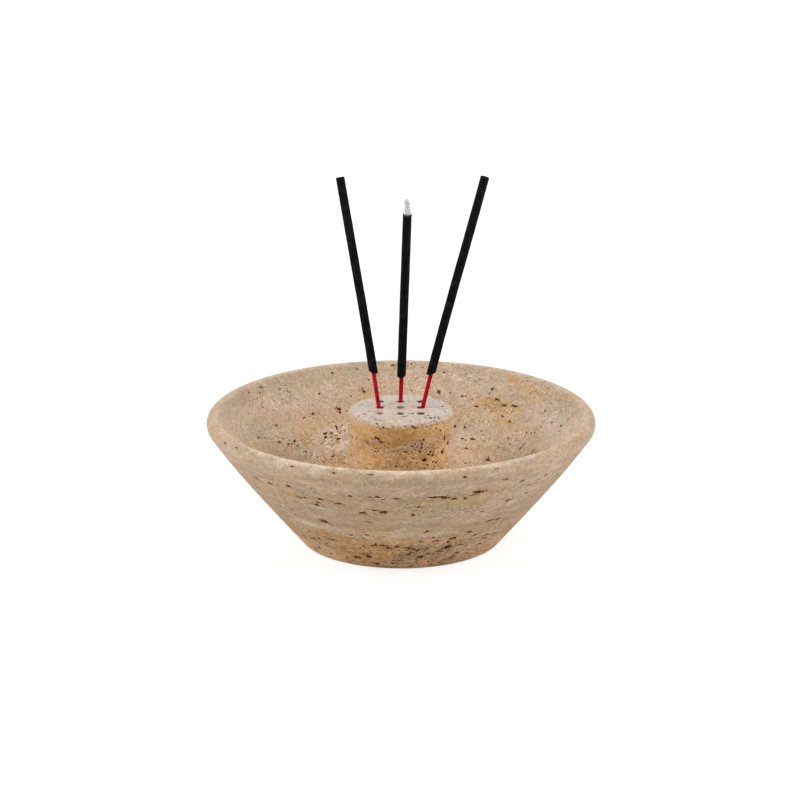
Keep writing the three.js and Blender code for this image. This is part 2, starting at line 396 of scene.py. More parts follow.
def travertine(name, look, beds, porosity, patches, cap_height=None):
    """Travertine, turned and honed: a matt limestone laid down in thin beds round gas and reeds.
    The eye sees wavy layers, pale crystals, rust streaks and open pits with brown clay in them."""
    material, tree = new_material(name)
    mm = in_millimetres(tree)
    inside = add_node(tree, "Attribute", attribute_name="inside").outputs["Fac"]
    pit = add_node(tree, "Attribute", attribute_name="pit").outputs["Fac"]
    soil = add_node(tree, "Attribute", attribute_name="soil").outputs["Fac"]

    # The beds wave by a few millimetres over the bowl's width
    sway = add_node(tree, "TexNoise", {"Vector": mm, "Scale": 1 / 38, "Detail": 2.5})
    sway = add_node(
        tree,
        "VectorMath",
        {0: sway.outputs["Color"], 1: (0.5, 0.5, 0.5)},
        operation="SUBTRACT",
    )
    waved = add_node(tree, "VectorMath", {0: sway, 1: (4, 4, 8), 2: mm}, operation="MULTIPLY_ADD")
    flat = add_node(tree, "VectorMath", {0: waved, 1: (0.12, 0.12, 1)}, operation="MULTIPLY")
    loose = add_node(tree, "VectorMath", {0: waved, 1: (0.45, 0.45, 1)}, operation="MULTIPLY")

    # Beds of several millimetres, by height
    height = add_node(tree, "SeparateXYZ", {0: waved}).outputs["Z"]
    share = add_node(tree, "MapRange", {"Value": height, "From Max": 42})
    shade = add_node(tree, "ValToRGB", {0: share}, stops=beds).outputs[0]
    openness = add_node(tree, "ValToRGB", {0: share}, stops=porosity).outputs[0]
    openness = add_node(tree, "Mix", {0: inside, 2: openness, 3: 0.6}, data_type="FLOAT")

    # Clouds at their places, with frayed edges
    fray = add_node(
        tree, "TexNoise", {"Vector": mm, "Scale": 1 / 4, "Detail": 8, "Roughness": 0.78}
    ).outputs["Fac"]
    fray = add_node(tree, "Math", {0: fray, 1: 4.0, 2: -2.0}, operation="MULTIPLY_ADD")
    for patch in patches:
        place = add_node(
            tree,
            "Mapping",
            {"Vector": mm, "Location": patch.centre, "Rotation": (0, 0, patch.turn), "Scale": patch.radii},
            vector_type="TEXTURE",
        )
        away = add_node(tree, "VectorMath", {0: place}, operation="LENGTH")
        away = add_node(tree, "Math", {0: away, 1: fray}, operation="ADD")
        amount = add_node(tree, "MapRange", {"Value": away, "From Min": 1.25, "From Max": 0.65})
        part = add_node(tree, "Math", {0: amount, 1: patch.strength}, operation="MULTIPLY")
        shade = add_node(tree, "Mix", {0: part, 6: shade, 7: patch.shade}, data_type="RGBA")
        if patch.pores:
            openness = add_node(
                tree, "Math", {0: amount, 1: patch.pores, 2: openness}, operation="MULTIPLY_ADD"
            )

    # The inner wall is painted a little paler and greyer all over: painted light that brightens the inside
    # of the bowl
    part = add_node(tree, "Math", {0: inside, 1: 0.16}, operation="MULTIPLY")
    shade = add_node(tree, "Mix", {0: part, 6: shade, 7: look.mist}, data_type="RGBA")

    # Laminae of about a millimetre, plainer on the inside, where the beds are cut at a slant
    laminae = add_node(
        tree, "TexNoise", {"Vector": flat, "Scale": 1 / 1.7, "Detail": 5, "Roughness": 0.7}
    ).outputs["Fac"]
    lamina_tone = add_node(
        tree,
        "MapRange",
        {"Value": laminae, "From Min": 0.34, "From Max": 0.66, "To Min": 0.82, "To Max": 1.15},
    )
    calm = add_node(tree, "Math", {0: inside, 1: 0.6}, operation="MULTIPLY")
    lamina_tone = add_node(tree, "Mix", {0: calm, 2: lamina_tone, 3: 1.0}, data_type="FLOAT")
    shade = add_node(tree, "VectorMath", {0: shade, "Scale": lamina_tone}, operation="SCALE")

    # Cool clouds, pale crystals, and rusty, rosy and greenish specks, each a band of one noise
    for scale, stretch, low, high, amount, tint in (
        (1 / 7, loose, 0.5, 0.64, 0.4, look.grey),
        (1 / 3.0, loose, 0.53, 0.64, 0.45, look.cream),
        (1 / 2.6, flat, 0.55, 0.7, 0.6, look.ochre),
        (1 / 2.0, loose, 0.54, 0.66, 0.45, look.pink),
        (1 / 2.4, loose, 0.55, 0.68, 0.45, look.olive),
    ):
        band = add_node(
            tree,
            "TexNoise",
            {"Vector": stretch, "Scale": scale, "Detail": 7, "Roughness": 0.74, "Distortion": 0.4},
        ).outputs["Fac"]
        part = add_node(
            tree,
            "MapRange",
            {"Value": band, "From Min": low, "From Max": high, "To Max": amount},
        )
        shade = add_node(tree, "Mix", {0: part, 6: shade, 7: tint}, data_type="RGBA")

    # A pale bed on top, creamy below and whiter above, with an uneven lower edge
    if cap_height:
        edge = add_node(
            tree, "TexNoise", {"Vector": mm, "Scale": 1 / 5, "Detail": 7, "Roughness": 0.72}
        ).outputs["Fac"]
        level = add_node(tree, "SeparateXYZ", {0: mm}).outputs["Z"]
        level = add_node(tree, "Math", {0: edge, 1: 2.4, 2: level}, operation="MULTIPLY_ADD")
        for start, finish, amount, tint in ((1.08, 1.32, 0.9, look.cap), (1.9, 2.7, 0.9, look.white)):
            part = add_node(
                tree,
                "MapRange",
                {
                    "Value": level,
                    "From Min": cap_height + start,
                    "From Max": cap_height + finish,
                    "To Max": amount,
                },
            )
            shade = add_node(tree, "Mix", {0: part, 6: shade, 7: tint}, data_type="RGBA")

    # Grain: crystals that each catch the light their own way. Real ones of 0.1 to 0.3 mm are too
    # fine to show here, so they are drawn half a millimetre and a millimetre wide
    grain = add_node(
        tree, "TexNoise", {"Vector": mm, "Scale": 1 / 0.8, "Detail": 2, "Roughness": 0.75}
    ).outputs["Fac"]
    sparkle = grain
    for cell, part in ((0.5, 1.0), (1.0, 0.5)):
        crystal = add_node(tree, "TexVoronoi", {"Vector": mm, "Scale": 1 / cell})
        facet = add_node(tree, "SeparateColor", {0: crystal.outputs["Color"]}).outputs[0]
        sparkle = add_node(tree, "Math", {0: facet, 1: part, 2: sparkle}, operation="MULTIPLY_ADD")
    sparkle = add_node(
        tree,
        "MapRange",
        {"Value": sparkle, "From Min": 0.45, "From Max": 2.05, "To Min": -1},
    )
    harsh = add_node(tree, "MapRange", {"Value": inside, "To Min": 0.2, "To Max": 0.22})
    sparkle = add_node(tree, "Math", {0: sparkle, 1: harsh, 2: 1.0}, operation="MULTIPLY_ADD")
    shade = add_node(tree, "VectorMath", {0: shade, "Scale": sparkle}, operation="SCALE")

    # Ragged flecks, paler, greyer and browner than the stone round them, flattened along the
    # beds and gathered in nests
    squashed = add_node(tree, "VectorMath", {0: waved, 1: (0.65, 0.65, 1)}, operation="MULTIPLY")
    nests = add_node(
        tree, "TexNoise", {"Vector": loose, "Scale": 1 / 4.5, "Detail": 3, "Roughness": 0.6}
    ).outputs["Fac"]
    gathered = add_node(tree, "Math", {0: nests, 1: openness}, operation="MULTIPLY")
    for size, low, high, amount, change in (
        (0.6, 0.62, 0.74, 0.85, (1.3, 1.33, 1.38)),
        (0.75, 0.65, 0.76, 0.85, (0.62, 0.58, 0.48)),
        (1.3, 0.67, 0.79, 0.8, (0.74, 0.62, 0.46)),
    ):
        speck = add_node(
            tree,
            "TexNoise",
            {"Vector": squashed, "Scale": 1 / size, "Detail": 3, "Roughness": 0.65, "Distortion": 0.6},
        ).outputs["Fac"]
        speck = add_node(tree, "Math", {0: gathered, 1: 0.25, 2: speck}, operation="MULTIPLY_ADD")
        part = add_node(
            tree,
            "MapRange",
            {"Value": speck, "From Min": low, "From Max": high, "To Max": amount},
        )
        fleck = add_node(tree, "VectorMath", {0: shade, 1: change}, operation="MULTIPLY")
        shade = add_node(tree, "Mix", {0: part, 6: shade, 7: fleck}, data_type="RGBA")

    # Pin pores too small for the mesh, in the same nests: clay rimmed with pale crystals; the clay
    # also paints the shade inside the pores, which the mesh has no hollows for
    wobble = add_node(tree, "Math", {0: grain, 1: 0.5}, operation="SUBTRACT")
    relief = add_node(tree, "Math", {0: grain, 1: 0.3}, operation="MULTIPLY")
    for cell, few, many, largest, strength in (
        (0.85, 0.15, 0.75, 0.4, 0.85),
        (1.5, 0.06, 0.5, 0.38, 0.95),
    ):
        cells = add_node(tree, "TexVoronoi", {"Vector": squashed, "Scale": 1 / cell})
        chosen = add_node(tree, "SeparateColor", {0: cells.outputs["Color"]}).outputs[1]
        likely = add_node(
            tree,
            "MapRange",
            {"Value": nests, "From Min": 0.44, "From Max": 0.64, "To Min": few, "To Max": many},
        )
        likely = add_node(tree, "Math", {0: likely, 1: openness}, operation="MULTIPLY")
        likely = add_node(tree, "Math", {0: likely, 1: chosen}, operation="SUBTRACT")
        radius = add_node(
            tree,
            "MapRange",
            {"Value": likely, "From Max": 0.35, "To Min": -0.1, "To Max": largest},
        )
        radius = add_node(tree, "Math", {0: radius, 1: wobble}, operation="ADD")
        depth = add_node(
            tree, "Math", {0: radius, 1: cells.outputs["Distance"]}, operation="SUBTRACT"
        )
        rim = add_node(
            tree,
            "MapRange",
            {"Value": depth, "From Min": -0.22, "From Max": -0.06, "To Max": 0.5},
        )
        shade = add_node(tree, "Mix", {0: rim, 6: shade, 7: look.crystal}, data_type="RGBA")
        pore = add_node(
            tree,
            "MapRange",
            {"Value": depth, "From Min": -0.04, "From Max": 0.05, "To Max": strength},
        )
        shade = add_node(tree, "Mix", {0: pore, 6: shade, 7: look.clay}, data_type="RGBA")
        relief = add_node(tree, "Math", {0: relief, 1: pore}, operation="SUBTRACT")

    # Clay and painted contact shade along the foot, clay in the drilled holes, rust and clay along the
    # rims of the open pits, and painted shade, a dark brown, at their bottoms
    foot = add_node(tree, "SeparateXYZ", {0: mm}).outputs["Z"]
    foot = add_node(tree, "Math", {0: nests, 1: -3.0, 2: foot}, operation="MULTIPLY_ADD")
    deep = add_node(tree, "Math", {0: wobble, 1: pit}, operation="ADD")
    for share_in, low, high, amount, tint in (
        (foot, -0.8, -1.7, 0.4, look.clay),
        (soil, 0.0, 1.0, 0.9, look.clay),
        (pit, 0.01, 0.1, 0.5, look.rust),
        (deep, 0.18, 0.4, 0.9, look.clay),
        (deep, 0.5, 0.9, 0.95, look.pit_bottom_shade),
    ):
        part = add_node(
            tree,
            "MapRange",
            {"Value": share_in, "From Min": low, "From Max": high, "To Max": amount},
        )
        shade = add_node(tree, "Mix", {0: part, 6: shade, 7: tint}, data_type="RGBA")

    bump = add_node(tree, "Bump", {"Strength": 0.7, "Distance": 0.15 * MM, "Height": relief})
    shader = add_node(
        tree,
        "BsdfPrincipled",
        {"Base Color": shade, "Roughness": 0.66, "IOR": 1.49, "Specular IOR Level": 0.2, "Normal": bump},
    )
    add_node(tree, "OutputMaterial", {"Surface": shader})
    return material


def dyed_bamboo(look):
    """Split bamboo dipped in dye: satin fibres along the stick, soaked unevenly by the colour."""
    material, tree = new_material("Bamboo_dyed_red")
    mm = in_millimetres(tree)
    # Fibre bundles are about 0.25 mm wide and run on for centimetres
    drawn = add_node(tree, "VectorMath", {0: mm, 1: (1, 1, 0.06)}, operation="MULTIPLY")
    fibres = add_node(
        tree, "TexNoise", {"Vector": drawn, "Scale": 1 / 0.25, "Detail": 3}
    ).outputs["Fac"]
    soak = add_node(tree, "TexNoise", {"Vector": mm, "Scale": 1 / 2.5, "Detail": 3}).outputs["Fac"]
    soak = add_node(tree, "Math", {0: soak, 1: fibres}, operation="ADD")
    shade = add_node(
        tree,
        "ValToRGB",
        {0: add_node(tree, "Math", {0: soak, 1: 0.5}, operation="MULTIPLY")},
        stops=[(0.36, look.dark_red), (0.56, look.red)],
    )
    bump = add_node(tree, "Bump", {"Strength": 0.5, "Distance": 0.05 * MM, "Height": fibres})
    shader = add_node(
        tree,
        "BsdfPrincipled",
        {"Base Color": shade, "Roughness": 0.6, "Specular IOR Level": 0.1, "Normal": bump},
    )
    add_node(tree, "OutputMaterial", {"Surface": shader})
    return material


def charcoal_paste(look):
    """Charcoal and wood powder paste, rolled by hand and dried: dull black, gritty to the touch.
    A burnt end turns grey-brown and then to ash."""
    material, tree = new_material("Incense_paste_dried")
    mm = in_millimetres(tree)
    grit = add_node(
        tree, "TexNoise", {"Vector": mm, "Scale": 1 / 0.3, "Detail": 4, "Roughness": 0.7}
    ).outputs["Fac"]
    lumps = add_node(tree, "TexNoise", {"Vector": mm, "Scale": 1 / 2, "Detail": 2}).outputs["Fac"]
    both = add_node(tree, "Math", {0: grit, 1: lumps}, operation="MULTIPLY")
    shade = add_node(tree, "ValToRGB", {0: both}, stops=[(0.2, look.charcoal), (0.38, look.dust)])
    burnt = add_node(tree, "Attribute", attribute_name="burnt").outputs["Fac"]
    burnt = add_node(tree, "Math", {0: burnt, 1: grit}, operation="MULTIPLY")
    burnt = add_node(tree, "MapRange", {"Value": burnt, "From Min": 0.2, "From Max": 0.45})
    shade = add_node(tree, "Mix", {0: burnt, 6: shade, 7: look.char}, data_type="RGBA")
    bump = add_node(tree, "Bump", {"Strength": 0.8, "Distance": 0.1 * MM, "Height": grit})
    shader = add_node(
        tree,
        "BsdfPrincipled",
        {"Base Color": shade, "Roughness": 0.95, "Specular IOR Level": 0.08, "Normal": bump},
    )
    add_node(tree, "OutputMaterial", {"Surface": shader})
    return material


def incense_ash(look):
    """Ash that keeps the stick's shape: chalky flakes, white outside and grey in the cracks."""
    material, tree = new_material("Ash_flaky")
    mm = in_millimetres(tree)
    flakes = add_node(
        tree, "TexVoronoi", {"Vector": mm, "Scale": 1 / 0.45}, feature="DISTANCE_TO_EDGE"
    )
    powder = add_node(tree, "TexNoise", {"Vector": mm, "Scale": 1 / 0.6, "Detail": 4}).outputs["Fac"]
    depth = add_node(tree, "Math", {0: flakes.outputs["Distance"], 1: powder}, operation="MULTIPLY")
    shade = add_node(tree, "ValToRGB", {0: depth}, stops=[(0.0, look.crack), (0.06, look.ash)])
    bump = add_node(tree, "Bump", {"Strength": 0.6, "Distance": 0.08 * MM, "Height": depth})
    shader = add_node(
        tree,
        "BsdfPrincipled",
        {"Base Color": shade, "Roughness": 1.0, "Specular IOR Level": 0.1, "Normal": bump},
    )
    add_node(tree, "OutputMaterial", {"Surface": shader})
    return material


# Pieces


def bowl_section(sizes, radius, height, post_radius):
    """The bowl's outline in (radius, height), from the middle of its base to the middle of its seat."""
    lip_radius = sizes.lip_thickness / 2
    lip = Vector((radius - lip_radius, height - lip_radius))
    edge = Vector((sizes.base_diameter / 2, sizes.base_edge_radius))
    outside_low = sizes.outer_slope_at_base - math.pi / 2
    outside_high = sizes.outer_slope_at_lip - math.pi / 2
    inside_high = sizes.inner_slope + math.pi / 2
    foot = arc(edge, sizes.base_edge_radius, -math.pi / 2, outside_low, 0.3 * MM)
    rim = arc(lip, lip_radius, outside_high, 0, 0.5 * MM)
    rim += arc(lip, lip_radius, 0, math.pi / 2, 0.5 * MM)
    rim += arc(lip, lip_radius, math.pi / 2, inside_high, 0.5 * MM)
    wall = swell(foot[-1], sizes.outer_slope_at_base, rim[0], sizes.outer_slope_at_lip, sizes.facet)
    drop = rim[-1].y - sizes.floor_thickness
    corner = rim[-1].x - drop / math.tan(sizes.inner_slope)
    flat_edge = corner - sizes.floor_blend_radius * math.tan(sizes.inner_slope / 2)
    centre = Vector((flat_edge, sizes.floor_thickness + sizes.floor_blend_radius))
    blend_start = sizes.inner_slope - math.pi / 2
    blend = arc(centre, sizes.floor_blend_radius, blend_start, -math.pi / 2, sizes.facet)
    seat = post_radius + sizes.seat_clearance
    seat_floor = sizes.floor_thickness - sizes.seat_depth
    recess = [Vector((seat, sizes.floor_thickness)), Vector((seat, seat_floor)), Vector((0, seat_floor))]
    return [Vector((0, 0)), *foot, *wall, *rim, *blend, *recess]


# Pits of the bowl's outside that catch the eye: degrees round from +X, height, and the pit's
# length along the bed and height across it, then how far it slants, where it does
OUTER_PITS = [
    (-79.5, 31.2, 3.4, 0.5), (-76.8, 30.7, 1.7, 0.9), (-73.8, 30.0, 1.3, 0.7), (-70.0, 29.6, 1.0, 0.7),
    (-66.0, 31.5, 2.3, 0.9), (-67.6, 30.6, 1.8, 0.4), (-84.0, 27.4, 1.2, 0.5), (-97.2, 31.5, 1.1, 0.6),
    (-91.5, 31.0, 1.4, 0.4), (-105.5, 31.0, 1.0, 0.5), (-116.5, 28.3, 1.6, 0.6), (-124.6, 27.4, 2.0, 0.4),
    (-117.8, 26.6, 1.2, 0.6), (-110.2, 27.4, 1.9, 0.6), (-103.1, 24.4, 1.6, 0.7), (-98.3, 25.8, 1.8, 0.4),
    (-95.7, 25.2, 1.9, 0.8), (-119.7, 18.3, 1.9, 1.3), (-101.8, 20.7, 1.8, 0.3), (-121.6, 10.5, 1.8, 0.6),
    (-129.8, 9.4, 1.0, 0.7), (-112.3, 4.2, 1.5, 1.1), (-106.0, 5.0, 1.5, 1.5), (-135.0, 30.0, 1.5, 0.7),
    (-126.6, 31.3, 1.0, 0.8), (-54.7, 17.6, 1.7, 0.7), (-50.5, 17.5, 1.2, 0.6), (-61.1, 22.7, 1.1, 0.4),
    (-52.0, 25.4, 1.5, 0.6), (-51.5, 32.6, 1.3, 0.6), (-40.1, 31.8, 1.4, 0.5), (-68.4, 8.5, 2.2, 1.4),
    (-71.6, 7.2, 2.0, 0.7), (-68.1, 12.4, 1.9, 0.9), (-82.8, 8.3, 1.5, 0.8), (-80.2, 5.2, 1.3, 0.8),
    (-50.1, 7.1, 1.7, 0.5), (-109.4, 39.0, 1.0, 0.25), (-98.4, 39.3, 0.9, 0.3), (-122.7, 39.0, 1.0, 0.25),
    (-146.3, 39.3, 1.2, 0.25), (-153.0, 38.9, 1.1, 0.3), (-141.2, 30.2, 0.8, 0.7), (-102.8, 1.6, 1.2, 0.6),
    (-95.7, 9.3, 1.3, 0.7), (-93.9, 2.6, 1.2, 0.5), (-71.7, 38.0, 0.5, 0.3), (-62.2, 39.0, 0.8, 0.2),
    (-58.3, 34.9, 1.3, 0.4), (-44.7, 26.5, 1.2, 0.4), (-61.3, 14.2, 1.4, 0.7), (-57.0, 12.1, 1.5, 0.5),
    (-45.0, 10.2, 2.0, 0.5), (-49.8, 10.9, 1.4, 0.6), (-75.4, 12.1, 1.6, 0.5), (-87.1, 9.6, 1.1, 0.6),
    (-62.4, 8.9, 1.0, 0.6), (-63.6, 3.3, 1.2, 0.6), (-80.1, 16.5, 0.9, 0.6), (-77.1, 6.5, 0.9, 0.6),
]
# The same for the inner wall, seen over the near side of the rim
INNER_PITS = [
    (164.6, 28.0, 1.4, 0.6), (152.7, 24.2, 1.1, 0.7), (143.7, 22.9, 0.9, 0.8), (115.5, 28.2, 1.4, 1.0),
    (114.1, 38.0, 1.0, 0.6), (55.7, 34.7, 1.0, 0.6), (47.8, 31.3, 1.5, 0.55), (43.2, 31.8, 1.9, 0.6),
    (25.5, 23.2, 2.6, 0.4, 75), (15.0, 24.0, 2.6, 0.5, 75), (41.5, 16.8, 1.6, 0.8), (151.1, 38.4, 0.7, 0.7),
    (127.5, 28.2, 0.8, 0.7), (144.1, 38.5, 0.9, 0.7), (146.1, 37.4, 0.7, 0.7), (119.2, 23.4, 2.0, 0.5, 90),
    (125.9, 22.5, 1.4, 0.5), (120.1, 20.5, 1.6, 0.6), (132.2, 27.8, 0.9, 0.4), (148.0, 28.2, 0.6, 0.6),
    (92.8, 39.0, 0.9, 0.4), (66.3, 31.6, 1.3, 0.4), (59.3, 29.5, 1.4, 0.5), (52.0, 32.3, 1.4, 0.5),
    (17.9, 32.1, 1.0, 0.6), (10.0, 33.1, 1.0, 0.7), (65.9, 23.4, 0.8, 0.8), (61.3, 23.6, 0.7, 0.6),
    (28.5, 26.7, 1.2, 0.4), (55.7, 20.9, 1.2, 0.6), (75.1, 37.4, 0.7, 0.4), (41.2, 27.7, 1.0, 0.5),
    (136.0, 17.2, 0.7, 0.3), (131.0, 18.4, 0.5, 0.4), (127.0, 16.4, 1.1, 0.3), (140.5, 19.4, 0.6, 0.5),
    (133.5, 15.6, 0.6, 0.3), (143.0, 17.8, 0.5, 0.3), (129.5, 20.2, 0.8, 0.3), (134.2, 16.4, 0.5, 0.3),
]
# Shallow brown hollows at the back of the inner wall, each side of the post
INNER_HOLLOWS = [(104.1, 32.3, 0.9, 0.9), (75.7, 32.0, 0.85, 0.9), (126.3, 21.6, 0.8, 0.7)]


def on_wall(tree, degrees, height, inside):
    """The point and outward normal of the wall at a compass angle and a height."""
    heading = Vector((math.cos(math.radians(degrees)), math.sin(math.radians(degrees)), 0))
    start = UP * height if inside else UP * height + heading
    point, normal, _, _ = tree.ray_cast(start, heading if inside else -heading)
    return point, normal, heading


def wall_pits(tree, places, inside, deepest=1.5, larger=1.0):
    pits = []
    for degrees, height, long, tall, *slant in places:
        point, normal, heading = on_wall(tree, degrees, height * MM, inside)
        if point is None:
            continue
        along = UP.cross(heading)
        if slant:
            along = Matrix.Rotation(math.radians(slant[0]), 3, normal) @ along
        long, tall = 1.3 * larger * long, 1.4 * larger * tall
        depth = min(deepest, 0.65 * tall + 0.25)
        pits.append(Pit(point, normal, along, long * MM, tall * MM, depth * MM))
    return pits


def random_wall_pits(tree, rng, beds, inside):
    """Smaller pits strewn along beds, each given as height, spread, count and largest length."""
    places = []
    for height, spread, count, largest in beds:
        for _ in range(count):
            long = rng.uniform(0.35, 1) ** 1.5 * largest
            tall = long * rng.uniform(0.3, 0.75)
            places.append((rng.uniform(-180, 180), rng.gauss(height, spread), long, tall))
    return wall_pits(tree, places, inside)


def bowl_patches(look):
    """The clouds of the bowl's stone that catch the eye."""
    return [
        # Inner wall, from the left round the back to the right
        Patch(178, 54, 36, 14, 5, look.rose, 0.25),
        Patch(168, 50, 32, 6, 3, look.grey, 0.35),
        Patch(155, 46, 27.5, 6, 3.5, look.grey, 0.4, 0.3),
        Patch(142, 40, 20.5, 4, 3, look.grey, 0.4, 0.3),
        Patch(135, 51, 34, 7, 2, look.grey, 0.35),
        Patch(122, 53, 36.5, 26, 5, look.olive, 0.4),
        Patch(121, 40, 20.5, 6.5, 4.5, look.cream, 0.65, 0.9),
        Patch(137, 42, 22.5, 2.5, 1.6, look.ochre, 1.0, 0.6),
        Patch(128, 36, 15.5, 6, 2, look.ochre, 0.6, 0.8),
        Patch(141, 37.5, 17.5, 4, 1.8, look.cream, 0.6, 1.0),
        Patch(69, 53, 36.5, 5, 1.5, look.cream, 0.5, 0.5),
        Patch(60, 44, 25, 4.5, 1.6, look.olive, 0.4, 0.4),
        Patch(58, 38, 17.5, 6, 3.5, look.peach, 0.7),
        Patch(42, 40, 20.5, 7, 2.5, look.olive, 0.45, 0.3),
        Patch(30, 44, 25, 8, 4, look.rose, 0.45, 0.3),
        Patch(52, 49, 31, 5.5, 2, look.ochre, 1.4, 0.6),
        Patch(43, 49.5, 31.5, 4, 1.2, look.ochre, 1.4, 0.6),
        Patch(48.5, 55, 38.3, 3.2, 1.0, look.ochre, 1.0),
        Patch(38, 53, 35.7, 6, 2.5, look.ochre, 0.5),
        Patch(56, 52, 35, 3, 1.6, look.grey, 0.4),
        Patch(20, 52, 34, 8, 5, look.grey, 0.35, 0.3),
        Patch(0, 54, 36, 12, 5, look.rose, 0.6),
        Patch(12, 49, 31.5, 15, 6.5, look.mist, 0.55),
        Patch(60, 40, 21, 3.5, 2.5, look.cream, 0.5),
        # Outer wall and lip, from left to right
        # Cream along the top of the near lip: a cream bed, and a painted highlight along the lip
        Patch(-90, 58, 40.3, 26, 0.9, look.cream, 0.6),
        Patch(-122, 58, 40.3, 16, 0.9, look.cream, 0.6),
        Patch(-58, 58, 40.3, 16, 0.9, look.cream, 0.5),
        Patch(-142, 59, 39, 6, 0.8, look.ochre, 0.5),
        Patch(-150, 58, 36, 12, 3, look.rose, 0.4),
        Patch(-138, 58, 34, 12, 3, look.pink, 0.5),
        Patch(-118, 51, 25, 11, 2.6, look.grey, 0.4),
        Patch(-128, 44, 15.6, 9, 1.0, look.cream, 0.55),
        Patch(-117, 43, 14.0, 4, 0.8, look.cream, 0.45),
        Patch(-124, 42.5, 12.9, 7, 1.5, look.ochre, 0.6),
        Patch(-103, 45.5, 17.2, 9, 1.5, look.ochre, 0.55),
        Patch(-76, 52, 27, 14, 4, look.olive, 0.3),
        Patch(-48, 54, 27, 13, 7, look.rose, 0.55),
        Patch(-45, 40, 9, 12, 5, look.rose, 0.5),
        Patch(-56, 35, 5, 7, 3.5, look.rose, 0.5),
        Patch(-62, 50, 23, 10, 5, look.rose, 0.3),
        Patch(-38, 56, 34, 10, 6, look.rose, 0.4),
        Patch(-98, 43, 15.3, 34, 1.8, look.cream, 0.3),
        Patch(-104, 35, 5, 14, 3, look.brown, 0.6, 0.5),
        Patch(-72, 37, 9, 12, 3, look.grey, 0.3, 0.6),
        Patch(-82, 36, 7, 9, 2.5, look.rust, 0.2, 0.7),
        Patch(-62, 34, 4, 12, 2.5, look.rust, 0.3, 0.5),
        Patch(-118, 36, 7, 8, 1.5, look.rust, 0.3, 0.4),
    ]


class HOLDER_OT_turn_bowl(bpy.types.Operator):
    """Turn the bowl, with its open pits, in pale travertine"""

    bl_idname = "holder.turn_bowl"
    bl_label = "Turn bowl"

    def execute(self, context):
        sizes, look = context.scene.bowl_sizes, context.scene.stone_look
        _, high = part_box("bowl")
        _, post_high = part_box("post")
        section = bowl_section(sizes, high.x, high.z, post_high.x)
        bm = turned(section, sizes.facet, 240)
        tree = BVHTree.FromBMesh(bm)
        rng = random.Random(look.seed)
        pits = wall_pits(tree, OUTER_PITS, inside=False, larger=1.05)
        pits += wall_pits(tree, INNER_PITS, inside=True, deepest=0.6, larger=0.85)
        pits += wall_pits(tree, INNER_HOLLOWS, inside=True, deepest=0.35)
        pits += random_wall_pits(
            tree,
            rng,
            [
                (30.5, 1.2, 34, 1.2),
                (24.5, 1.5, 22, 1.2),
                (18.0, 1.0, 14, 1.1),
                (8.0, 2.6, 165, 1.15),
                (2.6, 0.9, 130, 1.0),
            ],
            inside=False,
        )
        pits += random_wall_pits(
            tree, rng, [(36, 2, 45, 0.55), (28, 3, 80, 0.65), (19, 4, 90, 0.8)], inside=True
        )
        # No pit opens in or beside the post's seat
        pits = [pit for pit in pits if pit.centre.xy.length > 1.15 * post_high.x]
        mark_inside(bm)
        carve(bm, pits, sizes.facet)
        beds = [
            (0.0, look.tan),
            (1.0, look.drab),
            (0.1, look.tan),
            (0.22, look.brown),
            (0.33, look.straw),
            (0.42, look.sand),
            (0.55, look.sand),
            (0.64, look.straw),
            (0.72, look.sand),
            (0.82, look.pink),
            (0.87, look.beige),
            (0.91, look.drab),
        ]
        porosity = [
            (0.0, grey(0.9)),
            (1.0, grey(0.2)),
            (0.3, grey(1.0)),
            (0.37, grey(0.3)),
            (0.5, grey(0.45)),
            (0.58, grey(0.75)),
            (0.75, grey(0.6)),
            (0.82, grey(0.2)),
        ]
        stone = travertine("Travertine_pale_honed", look, beds, porosity, bowl_patches(look))
        piece("bowl_turned", bm, stone, "holder", ["bowl"])
        return {"FINISHED"}


def post_section(sizes, radius, foot, top):
    edge = Vector((radius - sizes.top_radius, top - sizes.top_radius))
    return [
        Vector((0, foot)),
        Vector((radius - sizes.foot_chamfer, foot)),
        Vector((radius, foot + sizes.foot_chamfer)),
        *arc(edge, sizes.top_radius, 0, math.pi / 2, 0.35 * MM),
        Vector((0, top)),
    ]


def drill(sizes, mouth):
    """The stone that one hole takes out, in the drill's own shape."""
    radius = sizes.hole_diameter / 2
    # The drill overruns the post's top, so that no skin of stone is left over the hole
    above = 1.13 * MM
    tip = sizes.hole_depth + radius / math.tan(sizes.drill_point / 2)
    section = [
        Vector((0, -tip)),
        Vector((radius, -sizes.hole_depth)),
        Vector((radius, above)),
        Vector((0, above)),
    ]
    bm = turned(section, 0.21 * MM, 36)
    for vert in bm.verts:
        vert.co += mouth
    return bm


def soil_holes(bm, sizes, top):
    """Writes to the layer 'soil' how soiled each hole's wall is; row by row from the front left,
    how much and how far to each side."""
    soiled = [
        (0.1, 0.8), (0.9, 0.9), (1.0, 1.4),
        (1.0, 1.6), (0.6, 0.9), (1.0, 1.6),
        (1.0, 1.4), (1.0, 1.6), (1.0, 1.3),
    ]
    layer = bm.verts.layers.float.new("soil")
    for vert in bm.verts:
        column = (vert.co.x - sizes.hole_shift_x) / sizes.hole_pitch
        row = (vert.co.y - sizes.hole_shift_y) / sizes.hole_pitch
        off = math.hypot(column - round(column), row - round(row)) * sizes.hole_pitch
        in_grid = max(abs(round(column)), abs(round(row))) <= 1
        deep = top - vert.co.z
        if in_grid and off < 0.7 * sizes.hole_diameter and 0.02 * MM < deep < 8 * MM:
            amount, reach = soiled[3 * round(row) + round(column) + 4]
            aside = abs(column - round(column)) * sizes.hole_pitch / (reach * MM)
            vert[layer] = amount * min(1, deep / (0.25 * MM)) * min(1, max(0, 3 - 2.5 * aside))


